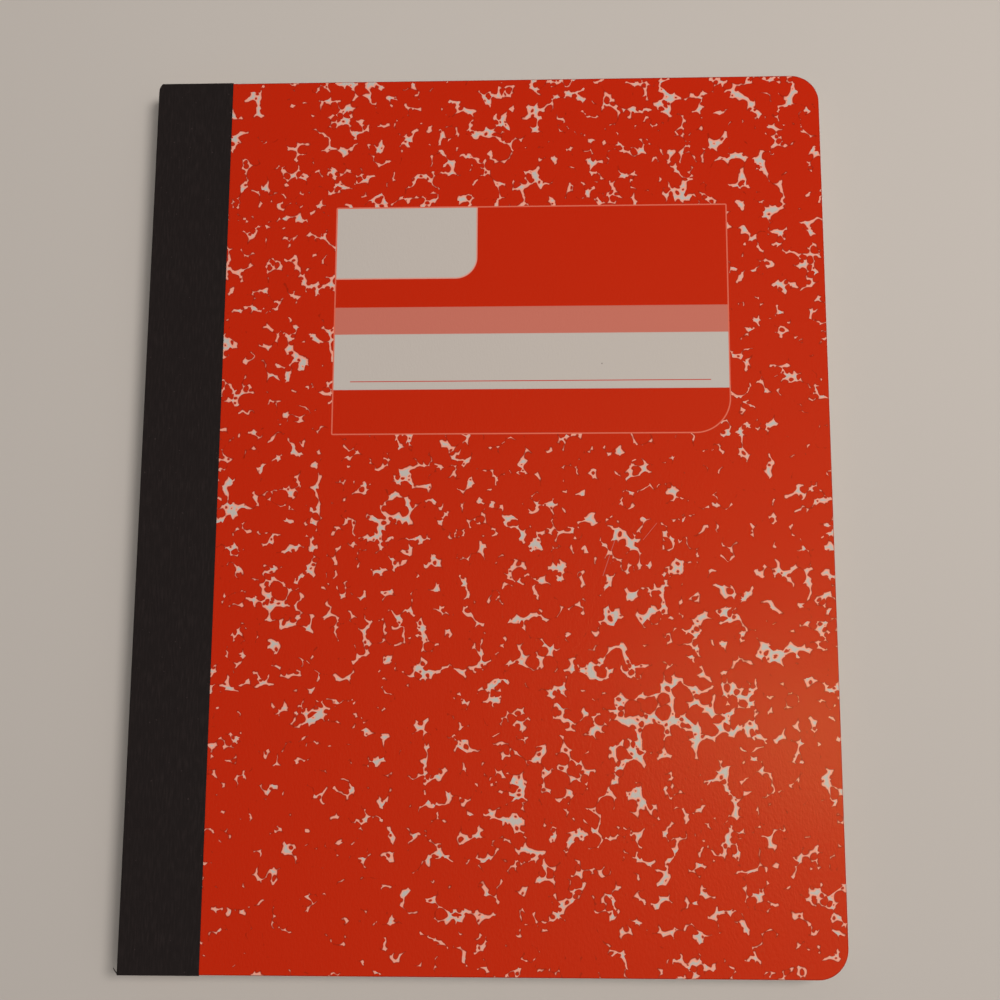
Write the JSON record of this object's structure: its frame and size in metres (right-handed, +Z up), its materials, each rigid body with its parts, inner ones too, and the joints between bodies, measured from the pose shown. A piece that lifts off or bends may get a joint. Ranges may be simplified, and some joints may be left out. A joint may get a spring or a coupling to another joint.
{
  "type": "composition notebook",
  "caption": "Sewn composition notebook with stiff marbled covers hinged on a cloth spine tape, round fore-edge corners and a printed label panel, lying closed on its back cover.",
  "frame": {"origin": "centre of the bounding box's bottom face, under the middle of the notebook, on the surface that it lies on", "axes": "+X from the spine to the fore edge, +Y from the tail to the head of the front cover, +Z up, from the back cover to the front cover"},
  "size_m": [0.1906, 0.2476, 0.0103],
  "materials": {
    "pages": "uncoated writing paper",
    "cover": "red and white marbled print under a satin gloss coat, on solid pulp board",
    "tape": "matte black coated binding cloth",
    "thread": "white sewing thread"
  },
  "bodies": {
    "pages": {"page_block": "pages", "tape_spine": "tape", "needle_thread": "thread", "bobbin_thread": "thread"},
    "front": {"front_cover": "cover", "tape_front": "tape"},
    "back": {"back_cover": "cover", "tape_back": "tape"}
  },
  "joints": [
    {"name": "front_cover_hinge", "type": "hinge", "parent": "pages", "child": "front", "pos_m": [-0.09525, 0, 0.0103], "axis": [0, -1, 0], "range_deg": [0, 180]},
    {"name": "back_cover_hinge", "type": "hinge", "parent": "pages", "child": "back", "pos_m": [-0.09525, 0, 0], "axis": [0, 1, 0], "range_deg": [0, 180]}
  ]
}
